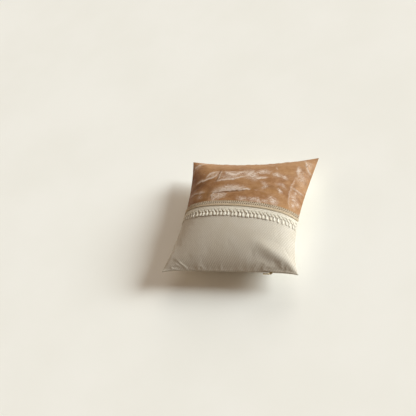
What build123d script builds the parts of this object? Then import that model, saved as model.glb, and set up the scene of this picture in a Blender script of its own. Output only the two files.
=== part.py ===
# Throw pillow: an 18 in square cover, half leather and half cotton twill, zipped over a filled insert.
# It lies on its back. +Z is the normal of its face, +Y points to the leather end, and the zip closes
# the seam at -Y. The origin is on the floor under the middle of the pillow. All lengths are millimetres.
from build123d import *
import math
import os

# --- form of the filled pillow ---
HALF = 215.0               # from the middle to a corner, along X and along Y
SEAM_Z = 64.0              # height of the edge seam above the floor
FRONT_RISE = 70.0          # from the seam up to the crown of the face
BACK_RISE = 68.0           # from the seam down to the crown of the back, before the floor flattens it
CROWN = 1.3                # radians of a cosine from the middle to the seam
CORNER_FILL = 0.25         # 1 gives flat, empty corners and 0 gives full ones with a ridge
PULL_RIGHT = 0.130         # how far each side is drawn in at its middle, as a share of HALF
PULL_LEFT = 0.115
PULL_TOP = 0.097
PULL_BOTTOM = 0.030        # the zip keeps this side straighter
LEAN_RIGHT = 0.45          # moves the deepest place of the right side towards the bottom
BOTTOM_POWER = 6           # keeps the zipped stretch of the bottom side straight
GRID = 40                  # intervals across a crowned surface

# --- cover ---
LIP = 1.6                  # turned edge of a panel at the seam
FABRIC = 1.2               # panel thickness away from the seam
SEAM_WIDTH = 3.0           # width over which front and back panels lie on each other
JOIN_Y = 1.0               # upper edge of the braid, at the middle
JOIN_TILT = -3.6           # degrees about Z: the braid runs a little lower at the right
LEATHER_LAP = 13.0         # leather runs this far under the braid

# --- trim, as distances below the braid's upper edge, on top of the panels ---
TRIM_GAP = 0.25            # air between a trim and what it is sewn to
BRAID = (0.0, 19.5)
TAPE = (20.0, 30.0)
HEADING = (30.3, 40.0)
TUFTS = (40.3, 56.0)
BRAID_HEIGHT = 2.0
TAPE_HEIGHT = 0.8
HEADING_HEIGHT = 1.8
TUFT_HEIGHT = 2.4
TUFT_COUNT = 35
TUFT_TOP = 4.5             # width of a tuft where it leaves the heading
TUFT_END = 7.5             # width of its brushed end
STITCH_WIDTH = 0.7
STITCH_HEIGHT = 0.5

# --- seam threads ---
THREAD_INSET = 1.5         # from the edge of the panels to the line of stitches
THREAD_WIDTH = 0.6
THREAD_HEIGHT = 0.5
GROOVE_GAP = 0.2

# --- insert, inside the cover ---
INSERT_HALF_X = 203.0      # its corners stay out of the ears of the cover
INSERT_HALF_Y = 200.0
INSERT_Y = 3.0             # the insert sits up from the zip
INSERT_GAP = 1.0           # between cover and insert
TICKING = 0.5
TICKING_LIP = 0.8
TICKING_SEAM = 2.0
FILL_GAP = 0.5
FILL_LIP = 0.4
FILL_INSET = 10.0

# --- concealed zip in the bottom seam ---
ZIP_HALF = 141.0           # half length of the coils
STOP = 3.0                 # length of a stop
SLOT = 1.4                 # gap between the lips of the cover
COIL_Y = -199.5
COIL_RADIUS = 0.8
COIL_Z = 1.7               # from the seam plane to the middle of a coil
TAPE_SECTION = ((-201.5, 2.9), (-194.0, 8.3), (-194.4, 8.7), (-201.9, 3.3))
SLIDER_X = 133.0           # slider's place when the zip is closed
BASE_SIZE = (12.0, 1.2, 5.0)
BASE_Y = -197.4
NECK_SIZE = (8.0, 0.8)
CAP_SIZE = (9.0, 1.5, 4.6)
CAP_Y = -210.4
PIN_Y = -213.4
PIN_RADIUS = 0.6
PIN_HALF = 2.2
LUG_RADIUS = 1.4
LUG_NEAR = 1.0             # faces of a lug, from the seam plane
LUG_FAR = 2.0
PIN_FIT = 0.06
KNUCKLE_HALF = 0.75
TAB_LENGTH = 24.0
TAB_HALF_WIDTH = 2.5
TAB_THICK = 1.0
TAB_SHOULDER = 3.4         # where the tab widens, from the pin
TAB_HOLE = 1.2

FRONT = 1
BACK = -1
REACH = 300.0              # side of a box that takes in the whole pillow from its middle


def spread(s):
    """Place along the seam plane for the share s of the fabric, from -1 to 1."""
    return math.sin(CROWN * s) / math.sin(CROWN)


def crown(s):
    """Height of the crown at the share s: 1 in the middle and 0 at the seam."""
    return (math.cos(CROWN * s) - math.cos(CROWN)) / (1 - math.cos(CROWN))


def fullness(s, t):
    """Share of the rise at the fabric's point s, t."""
    across = crown(s)
    along = crown(t)
    both = across * along
    return both / (CORNER_FILL + (1 - CORNER_FILL) * (across + along - both))


def draw(value, low, high):
    """Moves value inward, by the share low at -1 and high at +1."""
    return value - (high + low) / 2 * value**3 - (high - low) / 2 * value**2


def outline(s, t, half_x, half_y):
    """Place in plan of the fabric's point s, t on a pillow of these half sizes."""
    u = spread(s)
    v = spread(t)
    right = PULL_RIGHT * (1 - v**2) * (1 - LEAN_RIGHT * v)
    left = PULL_LEFT * (1 - v**2)
    top = PULL_TOP * (1 - u**2)
    bottom = PULL_BOTTOM * (1 - u**BOTTOM_POWER)
    return half_x * draw(u, left, right), half_y * draw(v, bottom, top)


def steps():
    return [2 * i / GRID - 1 for i in range(GRID + 1)]


def crowned_face(half_x, half_y, mid_y, rim, rise, side):
    """Crowned surface. Its edge stands rim off the seam plane and its crown a further rise."""
    rows = []
    for s in steps():
        row = []
        for t in steps():
            x, y = outline(s, t, half_x, half_y)
            z = SEAM_Z + side * (rim + rise * fullness(s, t))
            row.append(Vector(x, y + mid_y, z))
        rows.append(row)
    return Face.make_surface_from_array_of_points(rows, tol=0.005)


def slab(low_z, high_z):
    """Box across the whole pillow between two heights."""
    corner = (Align.CENTER, Align.CENTER, Align.MIN)
    return Pos(0, 0, low_z) * Box(2 * REACH, 2 * REACH, high_z - low_z, align=corner)


def half_pillow(half_x, half_y, mid_y, rim, rise, side, beyond=0.0, floor_z=0.0):
    """Solid from the seam plane out to a crowned surface, flat where it would pass below floor_z.
    It starts beyond past the seam plane, for cutting."""
    face = crowned_face(half_x, half_y, mid_y, rim, rise, side)
    block = Solid.extrude(face, Vector(0, 0, -side * (rim + rise + beyond + 10)))
    if side == FRONT:
        return block & slab(SEAM_Z - beyond, SEAM_Z + REACH)
    return block & slab(floor_z, SEAM_Z + beyond)


def rim_prism(half_x, half_y, mid_y, inset, half_height):
    """Flat prism about the seam plane with the outline of the seam, drawn in by inset."""
    sides = (
        [(s, -1) for s in steps()],
        [(1, t) for t in steps()],
        [(-s, 1) for s in steps()],
        [(-1, -t) for t in steps()],
    )
    edges = []
    for side in sides:
        plan = [outline(s, t, half_x - inset, half_y - inset) for s, t in side]
        edges.append(Edge.make_spline([Vector(x, y + mid_y, SEAM_Z - half_height) for x, y in plan]))
    return Solid.extrude(Face(Wire(edges)), Vector(0, 0, 2 * half_height))


def thread_loop(half_x, half_y, mid_y, gap):
    """Ring along the line of stitches. A positive gap gives the groove that it lies in."""
    inset = THREAD_INSET * half_x / HALF
    half_width = THREAD_WIDTH / 2 + gap
    half_height = THREAD_HEIGHT / 2 + gap
    outer = rim_prism(half_x, half_y, mid_y, inset - half_width, half_height)
    inner = rim_prism(half_x, half_y, mid_y, inset + half_width, half_height + 1)
    return outer - inner


def zip_gap(half_height, extra=0.0):
    """Box that opens the bottom seam along the zip."""
    length = 2 * (ZIP_HALF + STOP + 1 + extra)
    return Pos(0, COIL_Y, SEAM_Z) * Box(length, 40, 2 * half_height)


def below_join(near, far):
    """Box across the pillow between two distances below the braid's upper edge."""
    plane = Location((0, JOIN_Y, SEAM_Z), (0, 0, JOIN_TILT))
    strip = Box(2 * REACH, far - near, REACH, align=(Align.CENTER, Align.MAX, Align.CENTER))
    return plane * Pos(0, -near, 0) * strip


def cover_front():
    outer = half_pillow(HALF, HALF, 0, LIP, FRONT_RISE - LIP, FRONT)
    half = HALF - SEAM_WIDTH
    inner = half_pillow(half, half, 0, 0, FRONT_RISE - FABRIC, FRONT, beyond=1)
    return outer - inner - cover_groove() - zip_gap(SLOT / 2)


def cover_back():
    outer = half_pillow(HALF, HALF, 0, LIP, BACK_RISE - LIP, BACK)
    half = HALF - SEAM_WIDTH
    inner = half_pillow(half, half, 0, 0, BACK_RISE - FABRIC, BACK, beyond=1, floor_z=FABRIC)
    return outer - inner - cover_groove() - zip_gap(SLOT / 2)


def cover_groove():
    return thread_loop(HALF, HALF, 0, GROOVE_GAP) - zip_gap(REACH / 2, extra=1)


def cover_thread():
    return thread_loop(HALF, HALF, 0, 0) - zip_gap(REACH / 2, extra=2)


def trim_layer(lift, height):
    """Sheet of one height over the whole face, lifted off the panels."""
    face = crowned_face(HALF, HALF, 0, LIP + lift, FRONT_RISE - LIP, FRONT)
    return Solid.extrude(face, Vector(0, 0, height))


def trim(band, lift, height):
    return trim_layer(lift, height) & below_join(*band)


def stitch_row(place, lift):
    """One line of thread on top of a trim, at a distance below the braid's upper edge."""
    return trim((place - STITCH_WIDTH / 2, place + STITCH_WIDTH / 2), lift, STITCH_HEIGHT)


def tufts():
    """Brush ends of the fringe: one flared piece after another, along the heading."""
    near, far = TUFTS
    pitch = 2 * HALF * (1 - PULL_LEFT) / TUFT_COUNT
    plane = Location((0, JOIN_Y, SEAM_Z), (0, 0, JOIN_TILT))
    prisms = []
    for i in range(TUFT_COUNT):
        x = (i - (TUFT_COUNT - 1) / 2) * pitch
        corners = (
            (x - TUFT_TOP / 2, -near),
            (x - TUFT_END / 2, -far),
            (x + TUFT_END / 2, -far),
            (x + TUFT_TOP / 2, -near),
        )
        plan = Face(Wire.make_polygon([Vector(*c) for c in corners]))
        prisms.append(plane * Solid.extrude(plan, Vector(0, 0, REACH)))
    sheet = trim_layer(TRIM_GAP, TUFT_HEIGHT)
    return [sheet & prism for prism in prisms]


def join_thread():
    """Line of stitches that holds leather and twill together, on the inside of the cover."""
    half = HALF - SEAM_WIDTH
    face = crowned_face(half, half, 0, 0, FRONT_RISE - FABRIC - TRIM_GAP, FRONT)
    sheet = Solid.extrude(face, Vector(0, 0, -STITCH_HEIGHT)) & slab(SEAM_Z + 1, SEAM_Z + REACH)
    return sheet & below_join(LEATHER_LAP - STITCH_WIDTH / 2, LEATHER_LAP + STITCH_WIDTH / 2)


def insert_shell(side, rise):
    """One ticking panel of the insert."""
    top = rise - FABRIC - INSERT_GAP
    low = FABRIC + INSERT_GAP
    size = (INSERT_HALF_X, INSERT_HALF_Y)
    outer = half_pillow(*size, INSERT_Y, TICKING_LIP, top - TICKING_LIP, side, floor_z=low)
    size = (INSERT_HALF_X - TICKING_SEAM, INSERT_HALF_Y - TICKING_SEAM)
    inner = half_pillow(*size, INSERT_Y, 0, top - TICKING, side, beyond=1, floor_z=low + TICKING)
    return outer - inner - thread_loop(INSERT_HALF_X, INSERT_HALF_Y, INSERT_Y, 0.1)


def filling():
    """The stuffing: front and back halves as one body of fibre."""
    size = (INSERT_HALF_X - FILL_INSET, INSERT_HALF_Y - FILL_INSET)
    shell = FABRIC + INSERT_GAP + TICKING + FILL_GAP
    front = half_pillow(*size, INSERT_Y, FILL_LIP, FRONT_RISE - shell - FILL_LIP, FRONT)
    back = half_pillow(*size, INSERT_Y, FILL_LIP, BACK_RISE - shell - FILL_LIP, BACK, floor_z=shell)
    return front + back


def rod(radius, low_x, high_x, y, z):
    circle = Plane((low_x, y, z), x_dir=(0, 1, 0), z_dir=(1, 0, 0)) * Circle(radius)
    return extrude(circle, high_x - low_x)


def zip_coil(side):
    return rod(COIL_RADIUS, -ZIP_HALF, ZIP_HALF, COIL_Y, SEAM_Z + side * COIL_Z)


def zip_tape(side):
    """Woven tape that leads from a coil up along the inside of its panel."""
    end = ZIP_HALF + STOP
    corners = [Vector(-end, y, SEAM_Z + side * z) for y, z in TAPE_SECTION]
    return Solid.extrude(Face(Wire.make_polygon(corners)), Vector(2 * end, 0, 0))


def zip_stop(end):
    """Block that closes both coils at one end."""
    return Pos(end * (ZIP_HALF + STOP / 2), COIL_Y, SEAM_Z) * Box(STOP, 2 * COIL_RADIUS, 5)


def pin_axis(height, radius):
    return Pos(SLIDER_X, PIN_Y, SEAM_Z) * Cylinder(radius, height)


def zip_slider():
    """Base behind the coils, neck through the gap between the lips, and a cap with two lugs."""
    base = Pos(SLIDER_X, BASE_Y, SEAM_Z) * fillet(Box(*BASE_SIZE).edges().filter_by(Axis.Y), 1.5)
    neck_length = BASE_Y - CAP_Y
    neck = Box(NECK_SIZE[0], neck_length, NECK_SIZE[1])
    neck = Pos(SLIDER_X, (BASE_Y + CAP_Y) / 2, SEAM_Z) * neck
    cap = Pos(SLIDER_X, CAP_Y, SEAM_Z) * fillet(Box(*CAP_SIZE).edges().filter_by(Axis.Y), 1.5)
    slider = base + neck + cap
    lug_height = LUG_FAR - LUG_NEAR
    for side in (FRONT, BACK):
        z = SEAM_Z + side * (LUG_NEAR + LUG_FAR) / 2
        slider += Pos(SLIDER_X, PIN_Y, z) * Cylinder(LUG_RADIUS, lug_height)
        slider += Pos(SLIDER_X, (PIN_Y + CAP_Y) / 2, z) * Box(2 * LUG_RADIUS, CAP_Y - PIN_Y, lug_height)
    return slider - pin_axis(10, PIN_RADIUS + 0.02)


def zip_pull_tab():
    """Flat tab that hangs on the pin. At rest it lies along the seam towards -X."""
    ring = pin_axis(2 * KNUCKLE_HALF, LUG_RADIUS)
    neck_end = SLIDER_X - TAB_SHOULDER - 1
    neck = Box(SLIDER_X - neck_end, TAB_THICK, 2 * KNUCKLE_HALF, align=(Align.MIN, Align.CENTER, Align.CENTER))
    neck = Pos(neck_end, PIN_Y, SEAM_Z) * neck
    blade_length = TAB_LENGTH - TAB_SHOULDER
    blade = fillet(Box(blade_length, TAB_THICK, 2 * TAB_HALF_WIDTH).edges().filter_by(Axis.Y), 2.0)
    blade = Pos(SLIDER_X - TAB_SHOULDER - blade_length / 2, PIN_Y, SEAM_Z) * blade
    hole = Pos(SLIDER_X - TAB_LENGTH + 3.5, PIN_Y, SEAM_Z) * Rot(90, 0, 0) * Cylinder(TAB_HOLE, 3)
    return ring + neck + blade - hole - pin_axis(10, PIN_RADIUS + PIN_FIT)


def build():
    """Every sub-part, by the name of its node."""
    front = cover_front()
    braid_top = TRIM_GAP + BRAID_HEIGHT + TRIM_GAP
    tape_top = TRIM_GAP + TAPE_HEIGHT + TRIM_GAP
    return {
        "front_upper_panel": front - below_join(LEATHER_LAP, REACH),
        "front_lower_panel": front & below_join(LEATHER_LAP, REACH),
        "back_panel": cover_back(),
        "join_seam_thread": join_thread(),
        "cover_seam_thread": cover_thread(),
        "join_braid": trim(BRAID, TRIM_GAP, BRAID_HEIGHT),
        "braid_upper_stitching": stitch_row(BRAID[0] + 1.5, braid_top),
        "braid_lower_stitching": stitch_row(BRAID[1] - 1.5, braid_top),
        "fringe_tape": trim(TAPE, TRIM_GAP, TAPE_HEIGHT),
        "fringe_stitching": stitch_row(TAPE[0] + 1.5, tape_top),
        "fringe_heading": trim(HEADING, TRIM_GAP, HEADING_HEIGHT),
        "fringe_tufts": Compound(children=tufts()),
        "zip_tape_front": zip_tape(FRONT),
        "zip_tape_back": zip_tape(BACK),
        "zip_coil_front": zip_coil(FRONT),
        "zip_coil_back": zip_coil(BACK),
        "zip_stop_closed_end": zip_stop(1),
        "zip_stop_open_end": zip_stop(-1),
        "zip_slider": zip_slider(),
        "zip_pull_pin": pin_axis(2 * PIN_HALF, PIN_RADIUS),
        "zip_pull_tab": zip_pull_tab(),
        "insert_front_panel": insert_shell(FRONT, FRONT_RISE),
        "insert_back_panel": insert_shell(BACK, BACK_RISE),
        "insert_seam_thread": thread_loop(INSERT_HALF_X, INSERT_HALF_Y, INSERT_Y, -0.1),
        "insert_filling": filling(),
    }


os.makedirs("parts", exist_ok=True)
for name, shape in build().items():
    export_step(shape, f"parts/{name}.step")
    print(name, round(shape.volume))
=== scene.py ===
import math

import bpy
import numpy as np
from mathutils import Matrix, Vector


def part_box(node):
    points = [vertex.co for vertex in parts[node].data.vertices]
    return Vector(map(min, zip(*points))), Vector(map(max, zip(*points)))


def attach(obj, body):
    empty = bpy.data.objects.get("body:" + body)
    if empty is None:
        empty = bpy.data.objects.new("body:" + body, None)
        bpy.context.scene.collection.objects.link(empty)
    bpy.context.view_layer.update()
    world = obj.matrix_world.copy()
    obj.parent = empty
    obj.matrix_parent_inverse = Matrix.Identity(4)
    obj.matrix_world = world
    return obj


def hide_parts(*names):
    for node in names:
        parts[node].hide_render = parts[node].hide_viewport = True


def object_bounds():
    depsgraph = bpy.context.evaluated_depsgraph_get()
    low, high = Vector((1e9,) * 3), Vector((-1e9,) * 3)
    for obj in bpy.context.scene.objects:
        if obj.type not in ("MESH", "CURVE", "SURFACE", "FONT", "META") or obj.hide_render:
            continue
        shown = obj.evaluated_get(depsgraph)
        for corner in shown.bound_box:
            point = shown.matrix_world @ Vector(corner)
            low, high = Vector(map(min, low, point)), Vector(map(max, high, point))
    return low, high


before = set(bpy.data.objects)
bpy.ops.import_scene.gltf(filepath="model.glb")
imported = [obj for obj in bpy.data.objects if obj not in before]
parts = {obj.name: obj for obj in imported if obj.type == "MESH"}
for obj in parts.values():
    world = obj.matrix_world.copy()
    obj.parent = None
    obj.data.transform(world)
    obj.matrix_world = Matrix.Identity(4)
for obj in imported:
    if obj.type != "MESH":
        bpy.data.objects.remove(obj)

# A throw pillow that lies on its back. +X is the right of its face, +Y the leather end, +Z up. Metres.
# s and t run from -1 to 1 from seam to seam, across and up the cover.

# ---------------- sizes
MM = 0.001
CAD_BOX = [list(corner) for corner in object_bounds()]
HALF = CAD_BOX[1][0]
SEAM_Z = sum(corner.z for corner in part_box("cover_seam_thread")) / 2
FRONT_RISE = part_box("front_upper_panel")[1].z - SEAM_Z
BACK_RISE = 68 * MM         # before the back is flattened where it lies on the floor
CUT_HALF = 228.5 * MM      # half of the cover's flat size
CROWN = 1.3                # as in the CAD form
CORNER_FILL = 0.25
PULL_RIGHT, PULL_LEFT, PULL_TOP, PULL_BOTTOM = 0.130, 0.115, 0.097, 0.030
LEAN_RIGHT = 0.45
BOTTOM_POWER = 6
EDGE = 1.0 * MM            # a panel's height above the seam plane where it rolls into the seam
FRONT, BACK = 1, -1
RISE = {FRONT: FRONT_RISE, BACK: BACK_RISE}

JOIN_Y = 1 * MM            # the braid's upper edge on the middle line, and its slope
JOIN_SLOPE = math.tan(math.radians(-3.6))
LEATHER_LAP = 13 * MM      # this and the three ranges below are distances down from that edge
TAPE = (19.8 * MM, 30 * MM)
HEADING = (29.3 * MM, 40.5 * MM)
TUFTS = (39.5 * MM, 56 * MM)
TUFT_COUNT = 35
ZIP_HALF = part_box("zip_coil_front")[1].x
ZIP_LIP = 0.62 * MM        # half of the gap between the lips over the zip

rng = np.random.default_rng(7)


# ---------------- form of the filled cover
def spread(s):
    """Place across the form, from -1 to 1, of the fabric's share s."""
    return np.sin(CROWN * s) / math.sin(CROWN)


def crown(s):
    """Height of the form's arch at the share s: 1 in the middle and 0 at the seam."""
    return (np.cos(CROWN * s) - math.cos(CROWN)) / (1 - math.cos(CROWN))


def draw(value, low, high):
    """A place from -1 to 1 with its two ends pulled in by those shares."""
    return value - (high + low) / 2 * value**3 - (high - low) / 2 * value**2


def fullness(s, t):
    """Height of the form from 0 to 1, from the arches of its two directions."""
    across, along = crown(s), crown(t)
    both = across * along
    return both / (CORNER_FILL + (1 - CORNER_FILL) * (across + along - both))


def form(s, t, side, half_x=HALF, half_y=HALF, mid_y=0.0, rise=None, edge=EDGE):
    """Points of the crowned surface at the fabric's shares s and t."""
    s, t = np.broadcast_arrays(np.asarray(s, float), np.asarray(t, float))
    u, v = spread(s), spread(t)
    right = PULL_RIGHT * (1 - v**2) * (1 - LEAN_RIGHT * v)
    left = PULL_LEFT * (1 - v**2)
    top = PULL_TOP * (1 - u**2)
    bottom = PULL_BOTTOM * (1 - u**BOTTOM_POWER)
    rise = RISE[side] if rise is None else rise
    z = SEAM_Z + side * (edge + (rise - edge) * fullness(s, t))
    return np.stack([half_x * draw(u, left, right), half_y * draw(v, bottom, top) + mid_y, z], -1)


def flat_scale():
    """Shares s against the place on the flat cloth, from -1 to 1, along the middle line."""
    s = np.linspace(-1, 1, 401)
    line = form(s, 0.0, FRONT)
    length = np.concatenate([[0], np.cumsum(np.linalg.norm(np.diff(line, axis=0), axis=1))])
    length -= length[200]
    return s, np.where(length < 0, length / -length[0], length / length[-1])


SHARE, FLAT = flat_scale()


def flat_of(s):
    """Place on the flat cloth in metres for the share s."""
    return np.interp(s, SHARE, FLAT) * CUT_HALF


def share_of(place):
    """The share at a place on the flat cloth in metres."""
    return np.interp(np.asarray(place) / CUT_HALF, FLAT, SHARE)


# ---------------- mesh helpers
def smooth_steps(value, low, high):
    x = np.clip((value - low) / (high - low), 0, 1)
    return x * x * (3 - 2 * x)


def new_object(name, data):
    made = bpy.data.objects.new(name, data)
    bpy.context.scene.collection.objects.link(made)
    return made


def add_mesh(name, verts, faces, uv, node):
    """A new piece in place of a CAD node: verts, faces, and one uv pair for each face corner."""
    mesh = bpy.data.meshes.new(name)
    mesh.from_pydata(np.asarray(verts).tolist(), [], [list(map(int, f)) for f in faces])
    layer = mesh.uv_layers.new(name="Cloth")
    layer.data.foreach_set("uv", np.asarray(uv, float).ravel())
    mesh.update()
    mesh.polygons.foreach_set("use_smooth", [True] * len(mesh.polygons))
    piece = new_object(name, mesh)
    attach(piece, "pillow")
    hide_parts(node)
    return piece


def add_attribute(piece, name, values):
    layer = piece.data.attributes.new(name, "FLOAT", "POINT")
    layer.data.foreach_set("value", np.asarray(values, float).ravel())


def grid_faces(rows, columns, start=0, flip=False):
    """Quads of a rows by columns lattice of vertices."""
    index = np.arange(rows * columns).reshape(rows, columns) + start
    quads = np.stack([index[:-1, :-1], index[:-1, 1:], index[1:, 1:], index[1:, :-1]], -1)
    return (quads[..., ::-1] if flip else quads).reshape(-1, 4)


def sheet_piece(name, outer, inner, side, x, y, slot, node, padded=True):
    """A closed thick sheet between two lattices of points, with x and y as their flat places.
    Also gives the flat places of all its vertices."""
    rows, columns = outer.shape[:2]
    count = rows * columns
    faces = [grid_faces(rows, columns, 0, side == BACK),
             grid_faces(rows, columns, count, side == FRONT)]
    index = np.arange(count).reshape(rows, columns)
    loop = np.concatenate([index[0, :-1], index[:-1, -1], index[-1, :0:-1], index[:0:-1, 0]])
    after = np.roll(loop, -1)
    wall = np.stack([loop, loop + count, after + count, after], -1)
    faces.append(wall if side == FRONT else wall[:, ::-1])
    faces = np.concatenate(faces)
    flat = np.tile(np.stack([x, y], -1).reshape(-1, 2), (2, 1))
    verts = np.concatenate([outer.reshape(-1, 3), inner.reshape(-1, 3)])
    piece = add_mesh(name, verts, faces, flat[faces.ravel()], node)
    return piece, flat


# ---------------- cloth
CELLS = 76
FRAMES = 22
RELIEF_LIMIT = 1.3 * MM
RELIEF_WIDTH = 7           # swelling broader than this many cells is left to the form
FACE_RELIEF = 0.2          # share of the relief left in the middle of the face, which is well filled
SEAM_BAND = 0.07           # share in from the seam over which relief fades out


def blur(field, along, across):
    """Gaussian blur of a lattice by two widths, with its edge values carried on outside it."""
    for axis, width in enumerate((along, across)):
        reach = int(3 * width)
        kernel = np.exp(-0.5 * (np.arange(-reach, reach + 1) / width) ** 2)
        kernel /= kernel.sum()
        padded = np.pad(field, [(reach, reach) if a == axis else (0, 0) for a in (0, 1)], mode="edge")
        field = np.apply_along_axis(lambda line: np.convolve(line, kernel, "valid"), axis, padded)
    return field


def settle_cloth(start_front, start_back):
    """The cover as one closed cloth, a little larger than its form, held at the seam and blown up."""
    rows = CELLS + 1
    number = np.arange(rows * rows).reshape(rows, rows)
    inside = np.zeros((rows, rows), bool)
    inside[1:-1, 1:-1] = True
    back_number = number.copy()
    back_number[inside] = rows * rows + np.arange(inside.sum())
    verts = np.concatenate([start_front.reshape(-1, 3), start_back[inside]])
    front_faces = grid_faces(rows, rows)
    back_faces = back_number.ravel()[front_faces][:, ::-1]
    mesh = bpy.data.meshes.new("settling")
    mesh.from_pydata(verts.tolist(), [], np.concatenate([front_faces, back_faces]).tolist())
    cloth = new_object("settling", mesh)
    group = cloth.vertex_groups.new(name="seam")
    group.add([int(k) for k in number[~inside]], 1.0, "REPLACE")
    modifier = cloth.modifiers.new("cloth", "CLOTH")
    physics = modifier.settings
    physics.quality = 6
    physics.mass = 0.2
    physics.air_damping = 3
    physics.tension_stiffness = physics.compression_stiffness = 25
    physics.shear_stiffness = 12
    physics.bending_stiffness = 0.6
    physics.vertex_group_mass = "seam"
    physics.shrink_min = -0.035
    physics.use_pressure = True
    physics.uniform_pressure_force = 3.0
    physics.effector_weights.gravity = 0
    modifier.collision_settings.use_collision = False
    modifier.collision_settings.use_self_collision = False
    modifier.point_cache.frame_start, modifier.point_cache.frame_end = 1, FRAMES
    scene = bpy.context.scene
    scene.frame_start, scene.frame_end = 1, FRAMES
    for step in range(1, FRAMES + 1):
        scene.frame_set(step)
    settled = cloth.evaluated_get(bpy.context.evaluated_depsgraph_get())
    place = np.empty(len(verts) * 3)
    settled.data.vertices.foreach_get("co", place)
    place = place.reshape(-1, 3)
    bpy.data.objects.remove(cloth)
    bpy.data.meshes.remove(mesh)
    scene.frame_set(1)
    return place[number], place[back_number]


def unit(vectors):
    return vectors / np.maximum(np.linalg.norm(vectors, axis=-1, keepdims=True), 1e-12)


def lattice_normal(points, side):
    across = np.gradient(points, axis=1)
    along = np.gradient(points, axis=0)
    return unit(np.cross(across, along) * side)


def relief(settled, start, side):
    """Wrinkles of the settled cloth along the form's normal, with the broad swelling taken out."""
    move = ((settled - start) * lattice_normal(start, side)).sum(-1)
    ripple = move - blur(move, RELIEF_WIDTH, RELIEF_WIDTH)
    return RELIEF_LIMIT * np.tanh(ripple / RELIEF_LIMIT)


class Lattice:
    """Smooth values through a square lattice, read at any shares s and t."""

    def __init__(self, values):
        self.cells = len(values) - 1
        ends = np.concatenate([2 * values[:1] - values[1:2], values, 2 * values[-1:] - values[-2:-1]])
        self.values = np.concatenate(
            [2 * ends[:, :1] - ends[:, 1:2], ends, 2 * ends[:, -1:] - ends[:, -2:-1]], axis=1)

    def _weights(self, share):
        place = (np.clip(share, -1, 1) + 1) / 2 * self.cells
        cell = np.minimum(place.astype(int), self.cells - 1)
        f = (place - cell)[..., None]
        return cell, np.concatenate([
            (-f + 2 * f**2 - f**3) / 2, (2 - 5 * f**2 + 3 * f**3) / 2,
            (f + 4 * f**2 - 3 * f**3) / 2, (-f**2 + f**3) / 2], -1)

    def at(self, s, t):
        s, t = np.broadcast_arrays(np.asarray(s, float), np.asarray(t, float))
        column, across = self._weights(s)
        row, along = self._weights(t)
        total = np.zeros(s.shape + self.values.shape[2:])
        for j in range(4):
            for i in range(4):
                weight = (along[..., j] * across[..., i])[..., None]
                total += weight * self.values[row + j, column + i]
        return total


class Skin:
    """One face of the cover: a smooth sheet, and a finer relief of folds and wrinkles on it."""

    def __init__(self, points, relief, side):
        self.side = side
        self.points = Lattice(points)
        self.relief = Lattice(relief[..., None])

    def normal(self, s, t, reach=0.006):
        at = self.points.at
        across = at(np.minimum(s + reach, 1), t) - at(np.maximum(s - reach, -1), t)
        along = at(s, np.minimum(t + reach, 1)) - at(s, np.maximum(t - reach, -1))
        return unit(np.cross(across, along) * self.side)

    def at(self, s, t, height=0.0):
        """Points that stand a height above the relief."""
        above = self.relief.at(s, t) + np.asarray(height)[..., None]
        return self.points.at(s, t) + self.normal(s, t) * above


# Folds of the face: points on the flat cloth in millimetres, width and height of the fold.
FOLDS = (
    (((92, -140), (150, -168), (194, -188), (226, -214)), 19, 4.4),
    (((88, -178), (145, -198), (206, -218)), 20, -3.0),
    (((-214, 168), (-206, 186), (-188, 201), (-162, 210)), 8, 1.8),
    (((-200, 158), (-190, 178), (-168, 192)), 8, -1.4),
    (((-196, -150), (-206, -180), (-218, -206)), 10, 2.5),
    (((196, 150), (206, 180), (219, 208)), 9, 2.2),
    (((172, 168), (179, 148), (181, 134), (174, 110), (172, 83), (171, 60), (173, 33), (182, 0)), 5, 1.1),
    (((172, 78), (195, 73), (222, 70)), 7, 1.0),
    (((182, 213), (192, 190), (202, 168), (219, 150)), 7, 0.9),
    (((-96, 154), (-95, 125), (-97, 92)), 4, -1.4),
    (((-100, 40), (-60, 39), (-18, 42), (30, 44)), 3.6, -1.4),
    (((-92, 52), (-50, 58), (0, 56), (40, 50)), 9, 1.0),
    (((-98, 12), (-100, 34), (-94, 47)), 4.5, -1.0),
    (((-174, 102), (-157, 109), (-141, 108), (-121, 114), (-104, 123)), 7, 1.1),
    (((-70, 141), (-55, 129), (-37, 122), (-20, 127), (0, 138)), 8, 0.9),
    (((-200, 78), (-172, 87), (-146, 97)), 10, -1.5),
    (((-210, 62), (-170, 58), (-128, 49)), 6, 0.8),
)
FINE_CELLS = 240
# Wrinkles of the leather: widths along and across in fine cells, and height.
WRINKLES = ((4.0, 13.0, 0.4 * MM), (1.5, 5.0, 0.14 * MM))


def distance_to(path, x, y):
    """Distance of flat points from a path, if they are on its left, and the share of its length."""
    path = np.asarray(path, float)
    lengths = np.linalg.norm(np.diff(path, axis=0), axis=1)
    total, run = lengths.sum(), 0.0
    best, share, left = np.full(x.shape, 1e9), np.zeros(x.shape), np.ones(x.shape)
    for start, (dx, dy), length in zip(path[:-1], np.diff(path, axis=0), lengths):
        px, py = x - start[0], y - start[1]
        along = np.clip((px * dx + py * dy) / length**2, 0, 1)
        gap = np.hypot(px - along * dx, py - along * dy)
        nearer = gap < best
        best = np.where(nearer, gap, best)
        share = np.where(nearer, (run + along * length) / total, share)
        left = np.where(nearer, dx * py > dy * px, left)
        run += length
    return best, left, share


def folds(s, t):
    """Height of the listed folds, each of which fades towards both ends of its path."""
    x, y = flat_of(s) / MM, flat_of(t) / MM
    height = np.zeros(x.shape)
    for path, width, rise in FOLDS:
        gap, _, share = distance_to(path, x, y)
        fade = np.sin(np.pi * np.clip(share, 0.03, 0.97)) ** 0.5
        height += rise * np.exp(-(gap / width) ** 2) * fade
    return height * MM


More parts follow.
